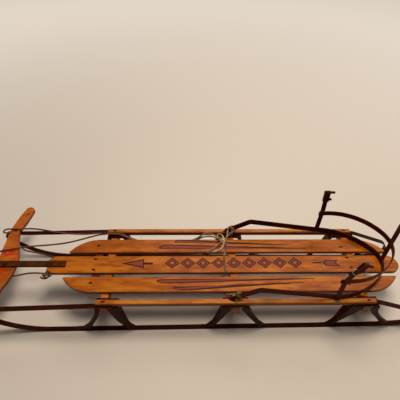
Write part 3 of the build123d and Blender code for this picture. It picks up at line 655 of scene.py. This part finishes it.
enamelLook = {
    "paint": "#300a05",
    "deep": "#160301",
    "rust": "#5a250b",
    "dust": "#5a2c18",
    "rustAt": 0.55,
    "grit": 1.6,  # mm across a grain of rust, drawn coarser than the real one, which wouldn't show
    "patch": 38,  # mm across a patch of rust
    "rough": (0.42, 0.85),
}
runnerLook = dict(enamelLook, paint="#2e0b05", deep="#170402", rust="#481907", rustAt=0.56)
strapLook = dict(enamelLook, paint="#4d170b", deep="#290a05", rust="#6e2a0d", rustAt=0.55)
tongueLook = dict(enamelLook, paint="#42230b", deep="#221305", rust="#613310", dust="#6a4826", rustAt=0.5,
                  rough=(0.5, 0.8))
boltLook = dict(enamelLook, paint="#25130c", deep="#100806", rust="#5f2c12", rustAt=0.48, patch=9, grit=0.9)


# rolled strap steel, dipped in dark red enamel: a low warm gloss where the paint is sound,
# and dull orange-brown rust that breaks through at edges and in patches
def rustedEnamel(name, look):
    material, tree = newMaterial(name)
    spot = addNode(tree, "TexCoord", out="Object")
    patch = addNode(tree, "TexNoise", {
        "Vector": spot, "Scale": 1000 / look["patch"], "Detail": 5, "Roughness": 0.65}, out="Fac")
    grit = addNode(tree, "TexNoise", {
        "Vector": spot, "Scale": 1000 / look["grit"], "Detail": 3}, out="Fac")
    worn = addNode(tree, "Math", {0: edgeNodes(tree, 1.3), 1: 0.12}, operation="MULTIPLY")
    worn = addNode(tree, "Math", {0: worn, 1: patch}, operation="ADD")
    rusty = addNode(tree, "MapRange", {0: worn, 1: look["rustAt"], 2: look["rustAt"] + 0.09})
    sound = addNode(tree, "MapRange", {0: patch, 1: 0.35, 2: 0.6})
    paint = addNode(tree, "Mix", {0: sound, 6: look["deep"], 7: look["paint"]}, data_type="RGBA")
    pitted = addNode(tree, "MapRange", {0: grit, 1: 0.35, 2: 0.65})
    rust = addNode(tree, "Mix", {0: pitted, 6: look["rust"], 7: look["deep"]}, data_type="RGBA")
    colour = addNode(tree, "Mix", {0: rusty, 6: paint, 7: rust}, data_type="RGBA")
    dusty = addNode(tree, "Math", {0: facingUp(tree, 0.5, 1, 0.15), 1: grit}, operation="MULTIPLY")
    colour = addNode(tree, "Mix", {0: dusty, 6: colour, 7: look["dust"]}, data_type="RGBA")
    rough = addNode(tree, "MapRange", {0: rusty, 3: look["rough"][0], 4: look["rough"][1]})
    height = addNode(tree, "MapRange", {0: rusty, 3: 0.25, 4: 1})
    height = addNode(tree, "Math", {0: height, 1: grit}, operation="MULTIPLY")
    bump = addNode(tree, "Bump", {"Height": height, "Strength": 0.5, "Distance": 0.0004})
    shader = addNode(tree, "BsdfPrincipled", {
        "Base Color": colour, "Normal": bump, "Roughness": rough, "IOR": 1.5, "Specular IOR Level": 0.08,
        "Specular Tint": "#c8785a"})
    addNode(tree, "OutputMaterial", {"Surface": shader})
    return material


finishes = {
    "varnished_slats": varnishedWood("varnishedAshSlats", slatLook),
    "varnished_frame": varnishedWood("varnishedAshFrame", frameLook),
    "varnished_bar": varnishedWood("varnishedAshBar", barLook, redLook),
    "painted_steel": rustedEnamel("enamelledKneeSteel", enamelLook),
    "runner_steel": rustedEnamel("enamelledRunnerSteel", runnerLook),
    "rusty_strap_iron": rustedEnamel("rustyStrapIron", strapLook),
    "dark_flat_iron": rustedEnamel("brownedFlatIron", tongueLook),
    "bolt_iron": rustedEnamel("rustyBoltIron", boltLook),
    "old_cotton_rope": ropeCotton,
    "pale_cord": cordCotton,
}
battenWood = varnishedWood("redStainedBatten", battenLook)
for part in frame["record"]["subparts"]:
    for pieceSlot in nodes[part["node"]].material_slots:
        pieceSlot.material = battenWood if part["node"] == "batten" else finishes[part["material_slot"]]
print("finishes given:", len(finishes))

# pressed steel knees, mm
kneeLook = {
    "plate": 3,
    "inner": 160,
    "outer": 206,
    "foot": 17,
    "wideAt": 20,  # down from the top, where a leg starts to narrow
    "narrowAt": 45,  # up from the floor, where it has come down to its foot's width
    "crown": (16, 4, 8),  # from a leg's top corner to the end of the flat top, to its bend, and down the leg
    "gauge": 193,  # from the sled's middle to a runner, which toes in towards the rear
    "toeIn": 0.45,  # degrees
    "steps": 28,
}
# each leg's back and the edge of its outer flange, from the top down to the runner
kneeLegs = {
    "front": {
        "station": -548,
        "backs": [[(-36, 150), (-46, 102), (-84, 38), (-108, 13), (-116, 7), (-126, 6.6), (-138, 6.6)],
                  [(62, 150), (70, 112), (88, 46), (110, 13), (116, 7), (126, 6.6), (138, 6.6)]],
        "flanges": [[(-14, 178), (-20, 147), (-40, 96), (-60, 58), (-80, 8)],
                    [(18, 178), (24, 150), (38, 100), (55, 62), (84, 8)]],
    },
    "middle": {
        "station": 0,
        "backs": [[(-58, 150), (-70, 112), (-88, 58), (-114, 14), (-120, 7), (-130, 6.6), (-144, 6.6)],
                  [(54, 150), (66, 118), (92, 64), (136, 13), (143, 7), (152, 6.6), (166, 6.6)]],
        "flanges": [[(-18, 178), (-30, 150), (-47, 112), (-65, 66), (-92, 8)],
                    [(16, 178), (34, 150), (52, 116), (86, 56), (115, 8)]],
    },
    "rear": {
        "station": 548,
        "backs": [[(-72, 150), (-86, 112), (-98, 66), (-124, 16), (-132, 7), (-142, 6.6), (-158, 6.6)],
                  [(50, 150), (78, 98), (104, 60), (152, 14), (160, 8.6), (168, 9), (180, 9.6)]],
        "flanges": [[(-16, 178), (-25, 150), (-48, 112), (-72, 74), (-108, 8)],
                    [(14, 178), (18, 150), (56, 100), (84, 62), (122, 9)]],
    },
}
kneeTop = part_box("knee_middle_right")[1][2] / mm


# how far a knee reaches from the sled's middle line at a height, inside and outside
def kneeEdges(z, centre):
    low, high = kneeLook["narrowAt"], kneeTop - kneeLook["wideAt"]
    share = min(max((z - low) / (high - low), 0), 1)
    half = kneeLook["foot"] / 2
    inner = centre - half + (kneeLook["inner"] - centre + half) * share
    outer = centre + half + (kneeLook["outer"] - centre - half) * share
    return inner, outer


def evenProfile(points, count):
    line = smoothLine([Vector((x, 0, z)) for x, z in points])
    length = evenSteps(line, 10)[1]
    return [(v.x, v.z) for v in evenSteps(line, length / count)[0]]


# a web over both legs and an outer flange on each
def kneeMesh(knee, side):
    centre = kneeLook["gauge"] - knee["station"] * math.tan(math.radians(kneeLook["toeIn"]))
    thick = kneeLook["plate"]
    top = kneeTop - thick / 2
    flat, bend, down = kneeLook["crown"]
    legs = []
    for back in knee["backs"]:
        start = back[0][0]
        sign = 1 if start > 0 else -1
        legs.append([(start - sign * flat, top), (start - sign * bend, top), (start, top - down), *back])
    web = evenProfile(legs[0][::-1] + legs[1], kneeLook["steps"] * 3)
    strips = [[]]
    for i, (x, z) in enumerate(web):
        (x0, z0), (x1, z1) = web[max(i - 1, 0)], web[min(i + 1, len(web) - 1)]
        long = math.hypot(x1 - x0, z1 - z0)
        nx, nz = -(z1 - z0) / long * thick / 2, (x1 - x0) / long * thick / 2
        inner, outer = kneeEdges(z, centre)
        strips[0].append([(x + nx, inner, z + nz), (x + nx, outer, z + nz), (x - nx, outer, z - nz),
                          (x - nx, inner, z - nz)])
    for leg, flange in zip(legs, knee["flanges"]):
        strips.append([])
        for a, b in zip(evenProfile(leg[1:-1], kneeLook["steps"]), evenProfile(flange, kneeLook["steps"])):
            outerA, outerB = kneeEdges(a[1], centre)[1], kneeEdges(b[1], centre)[1]
            strips[-1].append([(a[0], outerA, a[1]), (b[0], outerB, b[1]), (b[0], outerB - thick, b[1]),
                               (a[0], outerA - thick, a[1])])
    verts, faces = [], []
    for strip in strips:
        faces += tubeFaces(len(verts), len(strip), 4)
        verts += [place(knee["station"] + x, side * y, z) for ring in strip for x, y, z in ring]
    return verts, faces


for name, knee in kneeLegs.items():
    for sideName, side in (("right", 1), ("left", -1)):
        node = "knee_" + name + "_" + sideName
        piece = newPiece(node + "_pressed", *kneeMesh(knee, side), finishes["painted_steel"], smooth=False)
        normals = bmesh.new()
        normals.from_mesh(piece.data)
        bmesh.ops.recalc_face_normals(normals, faces=normals.faces)
        normals.to_mesh(piece.data)
        normals.free()
        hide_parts(node)
        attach(piece, "sled")
print("knees pressed:", len(kneeLegs) * 2)

# the guard's feet narrow towards the rail's outer side, with a smaller screw in each, mm
footLook = {
    "front": 10,
    "strapFace": 184.3,  # from the sled's middle to the outer face of the guard's strap
    "screwTop": 219,
    "oldEnd": 199.5,  # from the sled's middle to a foot's end as it was
    "oldMiddle": -18,
    "end": 193.5,
    "corners": (-16, -3),  # along the sled
    "oldScrew": (-28, 190),
    "screw": (-10, 188.3),
    "screwShare": 0.7,
}
guardMesh = nodes["guard_lower"].data.copy()
for vertex in guardMesh.vertices:
    x, y, z = vertex.co.x / mm - sledShift, abs(vertex.co.y) / mm, vertex.co.z / mm
    if x > footLook["front"] or y < footLook["strapFace"] or z > footLook["screwTop"]:
        continue
    if y > footLook["oldEnd"]:
        x, y = footLook["corners"][x > footLook["oldMiddle"]], footLook["end"]
    else:
        x, y = (new + (now - old) * footLook["screwShare"]
                for now, old, new in zip((x, y), footLook["oldScrew"], footLook["screw"]))
    vertex.co.x = (x + sledShift) * mm
    vertex.co.y = math.copysign(y * mm, vertex.co.y)
guardPiece = bpy.data.objects.new("guard_lower_bent", guardMesh)
scene.collection.objects.link(guardPiece)
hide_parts("guard_lower")
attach(guardPiece, "sled")
print("guard's feet narrowed")

paintLook = {
    "mauve": ("#7b3330", 0.6),  # and how much wood shows through where it's worn
    "dark": ("#130400", 0.22),
    "stain": ("#4a1f0a", 0.9),
    "line": 4.8,  # mm wide dark outline
    "slatTop": 205,
    "railTop": 212,
    "coats": ((0.02, 0.08), (0.08, 0.14)),  # mm above the wood, bottom and top of each coat
    "fleck": 4.762,  # mm from one worn fleck to the next
}


# old decorating enamel, thin and chalky: the wood's grain shows through and it has rubbed off in flecks
def decoratingPaint(name, colourHex, wear):
    material, tree = newMaterial(name)
    spot, wood, _, fibre, _ = woodColour(tree, slatLook)
    fleck = addNode(tree, "TexNoise", {
        "Vector": spot, "Scale": 1000 / paintLook["fleck"], "Detail": 4, "Roughness": 0.7}, out="Fac")
    gone = addNode(tree, "MapRange", {0: fleck, 1: 0.57, 2: 0.67, 3: 0.06, 4: wear})
    thin = addNode(tree, "MapRange", {0: fibre, 1: 0.3, 2: 0.75, 3: 0.6, 4: 1.2})
    thin = addNode(tree, "Math", {0: gone, 1: thin}, operation="MULTIPLY")
    colour = addNode(tree, "Mix", {0: thin, 6: colourHex, 7: wood}, data_type="RGBA")
    bump = addNode(tree, "Bump", {"Height": fibre, "Strength": 0.25, "Distance": 0.0004})
    shader = addNode(tree, "BsdfPrincipled", {
        "Base Color": colour, "Normal": bump, "Roughness": 0.5, "IOR": 1.5, "Specular IOR Level": 0.1,
        "Specular Tint": "#e8a070", "Coat Weight": 0.14, "Coat Roughness": 0.26, "Coat IOR": 1.5})
    addNode(tree, "OutputMaterial", {"Surface": shader})
    return material


mauvePaint = decoratingPaint("mauveDecoratingPaint", *paintLook["mauve"])
darkPaint = decoratingPaint("darkOutlinePaint", *paintLook["dark"])
stainedWood = decoratingPaint("rustStainedWood", *paintLook["stain"])


# a thin layer of paint with the outlines given, from bottom to top height in mm
def paintLayer(outlines, bottom, top):
    verts, faces = [], []
    for outline in outlines:
        first = len(verts)
        count = len(outline)
        for z in (bottom, top):
            verts += [place(x, y, z) for x, y in outline]
        area = sum(a[0] * b[1] - b[0] * a[1] for a, b in zip(outline[-1:] + outline, outline))
        ring = list(range(count)) if area > 0 else list(range(count - 1, -1, -1))
        faces.append(tuple(first + count + i for i in ring))
        faces.append(tuple(first + i for i in reversed(ring)))
        for a, b in zip(ring, ring[1:] + ring[:1]):
            faces.append((first + a, first + b, first + count + b, first + count + a))
    return verts, faces


def paintedMark(name, coats, top=paintLook["slatTop"]):
    for (layer, material, outlines), (low, high) in zip(coats, paintLook["coats"]):
        verts, faces = paintLayer(outlines, top + low, top + high)
        piece = newPiece(name + "_" + layer, verts, faces, material, smooth=False)
        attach(piece, "sled")


def outlinedMark(name, outlines, fills):
    paintedMark(name, [("line", darkPaint, outlines), ("fill", mauvePaint, fills)])


# tip of the round front, where it has its full width, that width, and the point at the rear
stripes = {
    "stripe_right_outer": {"tip": (-265, 122), "full": -236, "inner": 121, "outer": 139, "rear": (283, 103)},
    "stripe_right_inner": {"tip": (-335, 88), "full": -285, "inner": 85, "outer": 110, "rear": (342, 85)},
    "stripe_left_inner": {"tip": (-337, -88), "full": -279, "inner": -79, "outer": -100, "rear": (347, -79)},
    "stripe_left_outer": {
        "tip": (-264, -121), "full": -193, "inner": -116, "outer": -134, "rear": (294, -96)},
}


# round at the front and drawn out to a fine point at the rear; inset by the outline, for the fill
def stripeOutline(stripe, inset):
    sign = 1 if stripe["outer"] > 0 else -1
    inner = stripe["inner"] + sign * inset
    outer = stripe["outer"] - sign * inset
    tip = (stripe["tip"][0] + inset * 1.6, stripe["tip"][1] + sign * inset * 0.4)
    rear = (stripe["rear"][0] - inset * 40, stripe["rear"][1] + (stripe["inner"] - stripe["rear"][1]) * 0.08)
    halfPoint = sign * (0.4 if inset else 1.6)
    long = stripe["full"] - tip[0]
    steps = 10
    turns = [math.pi / 2 * i / steps for i in range(1, steps + 1)]
    outline = [tip]
    outline += [(tip[0] + long * (1 - math.cos(t)), tip[1] + (outer - tip[1]) * math.sin(t)) for t in turns]
    outline += [(rear[0], rear[1] + halfPoint), (rear[0], rear[1] - halfPoint)]
    outline += [(tip[0] + long * 0.45 * (1 - math.cos(t)), tip[1] + (inner - tip[1]) * math.sin(t))
                for t in reversed(turns)]
    return outline


for name, stripe in stripes.items():
    outlinedMark(name, [stripeOutline(stripe, 0)], [stripeOutline(stripe, paintLook["line"])])

arrow = {
    "head": [(-497, 4), (-398, 28), (-394, -21)],
    "headFill": [(-473, 4), (-402.5, 20.8), (-400, -13.4)],
    "shaft": [(-397, 9.5), (-357, 9), (-357, -2), (-397, -2)],
    "tailShaft": [(356, 8), (396, 8), (395, 1), (356, 1)],
    "tail": [(403, 4.5), (418, 20.5), (477, 19.5), (463, 3.5), (480, -14.5), (415, -13.5)],
    "tailFill": [(410.5, 4.5), (421, 16), (467, 15.3), (456, 3.5), (469, -10.2), (419.5, -9.2)],
}
outlinedMark("arrow_head", [arrow["head"], arrow["shaft"]], [arrow["headFill"]])
outlinedMark("arrow_tail", [arrow["tail"], arrow["tailShaft"]], [arrow["tailFill"]])

# a plain border of open diamonds fills the middle of the slat
border = {"from": -306, "to": 312, "count": 9, "middle": 5, "halfHigh": 30, "ring": 20, "gap": 2}


def diamond(x, y, halfLong, halfHigh):
    return [(x - halfLong, y), (x, y + halfHigh), (x + halfLong, y), (x, y - halfHigh)]


# inset by more than the outline is wide, because the sides slant
def diamondRing(x, y, halfLong, halfHigh, ring, inset):
    scale = 1 - ring / halfHigh
    outer = diamond(x, y, halfLong - inset * 1.5, halfHigh - inset * 1.4)
    inner = diamond(x, y, halfLong * scale + inset * 1.5, halfHigh * scale + inset * 1.4)
    return [[outer[i], outer[i - 3], inner[i - 3], inner[i]] for i in range(4)]


pitchLong = (border["to"] - border["from"]) / border["count"]
ringLines, ringFills = [], []
for i in range(border["count"]):
    x = border["from"] + pitchLong * (i + 0.5)
    half = (pitchLong - border["gap"]) / 2
    for outlines, inset in ((ringLines, 0), (ringFills, paintLook["line"])):
        outlines += diamondRing(x, border["middle"], half, border["halfHigh"], border["ring"], inset)
outlinedMark("diamond_border", ringLines, ringFills)
paintedMark("rail_pinstripe", [("line", mauvePaint, [[(88, -181), (150, -180), (220, -181.5), (220, -184),
                                                      (150, -183), (88, -183)]])], paintLook["railTop"])
print("ornament painted")

nailLook = {
    "radius": 3.9,
    "height": 0.9,
    "sides": 14,
    "rings": [(1, -0.2), (0.96, 0.45), (0.72, 0.82), (0.38, 0.98)],  # parts of radius and height
    "stain": (5.5, 8.5),  # mm from the nail's middle, least and most
    "spread": (1.3, 0.8),  # how the stain runs along the grain and across it
}
nailSpots = {
    "slat_nails": (paintLook["slatTop"], [(-613, -28), (-613, 28), (-614, -95), (-612, 104), (521, 32),
                                          (526, -22), (511, 94), (490, -108)]),
    "rail_nails": (paintLook["railTop"], [(-548, 189), (-548, -189), (548, 189), (548, -189)]),
}
chance = random.Random(41)
for name, (top, spots) in nailSpots.items():
    verts, faces, stains = [], [], []
    sides = nailLook["sides"]
    for x, y in spots:
        faces += tubeFaces(len(verts), len(nailLook["rings"]), sides)
        turns = [(math.cos(math.tau * k / sides), math.sin(math.tau * k / sides)) for k in range(sides)]
        for wide, high in nailLook["rings"]:
            reach, up = nailLook["radius"] * wide, nailLook["height"] * high
            verts += [place(x + reach * c, y + reach * s, top + up) for c, s in turns]
        long, wide = nailLook["spread"]
        reach = [chance.uniform(*nailLook["stain"]) for _ in turns]
        stains.append([(x + r * long * c, y + r * wide * s) for r, (c, s) in zip(reach, turns)])
    paintedMark(name + "_stain", [("rust", stainedWood, stains)], top)
    piece = newPiece(name, verts, faces, finishes["bolt_iron"])
    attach(piece, "sled")
print("nails driven")

stageLook = {
    "floor": "#d9cfc3",
    "air": "#f2efea",
    "airLight": 0.12,
    "glow": (0.8, 4.2, 0.8),  # m from the sled to where the floor shows its own paleness, and how pale
    "backdrop": 0.95,
    "reach": 20,  # m of floor each way
}
lamps = {
    "overhead": {"power": 82, "place": (0.3, 0.3, 3.35), "size": (1.1, 1.1), "aim": (0.05, 0, 0.15),
                 "colour": "#fff2e2"},
    "rearBox": {"power": 24, "place": (0.85, 1.65, 2.45), "size": (3, 0.9), "aim": (0.3, 0, 0.2),
                "colour": "#fff6ee"},
}
# matt pale floor: the lamps fade far from the sled, so there the eye sees the floor's own colour instead
floorMaterial, tree = newMaterial("paleFloor")
spot = addNode(tree, "TexCoord", out="Object")
away = addNode(tree, "VectorMath", {0: spot}, out="Value", operation="LENGTH")
start, end, most = stageLook["glow"]
glow = addNode(tree, "MapRange", {0: away, 1: start, 2: end, 4: most}, interpolation_type="SMOOTHSTEP")
seen = addNode(tree, "LightPath", out="Is Camera Ray")
glow = addNode(tree, "Math", {0: glow, 1: seen}, operation="MULTIPLY")
shader = addNode(tree, "BsdfPrincipled", {
    "Base Color": stageLook["floor"], "Roughness": 0.85, "IOR": 1.45, "Emission Color": stageLook["floor"],
    "Emission Strength": glow})
addNode(tree, "OutputMaterial", {"Surface": shader})
reach = stageLook["reach"]
corners = [(-reach, -reach, 0), (reach, -reach, 0), (reach, reach, 0), (-reach, reach, 0)]
floor = newPiece("floor", corners, [(0, 1, 2, 3)], floorMaterial)

for name, lamp in lamps.items():
    lampData = bpy.data.lights.new(name, "AREA")
    lampData.shape = "RECTANGLE"
    lampData.size, lampData.size_y = lamp["size"]
    lampData.energy = lamp["power"]
    lampData.color = linear(lamp["colour"])[:3]
    lampPiece = bpy.data.objects.new(name, lampData)
    lampPiece.location = lamp["place"]
    lampPiece.rotation_euler = (Vector(lamp["aim"]) - lampPiece.location).to_track_quat("-Z", "Y").to_euler()
    scene.collection.objects.link(lampPiece)

world = bpy.data.worlds.new("studio")
world.use_nodes = True
tree = world.node_tree
tree.nodes.clear()
rays = addNode(tree, "LightPath").node.outputs
seen = addNode(tree, "Math", {0: rays["Is Camera Ray"], 1: rays["Is Glossy Ray"]}, operation="MAXIMUM")
seen = addNode(tree, "Math", {0: seen, 1: rays["Is Transmission Ray"]}, operation="MAXIMUM")
colour = addNode(tree, "Mix", {0: seen, 6: stageLook["air"], 7: stageLook["floor"]}, data_type="RGBA")
strength = addNode(tree, "MapRange", {0: seen, 3: stageLook["airLight"], 4: stageLook["backdrop"]})
background = addNode(tree, "Background", {"Color": colour, "Strength": strength})
addNode(tree, "OutputWorld", {"Surface": background})
scene.world = world
scene.view_settings.view_transform = "Standard"
print("floor and light set")
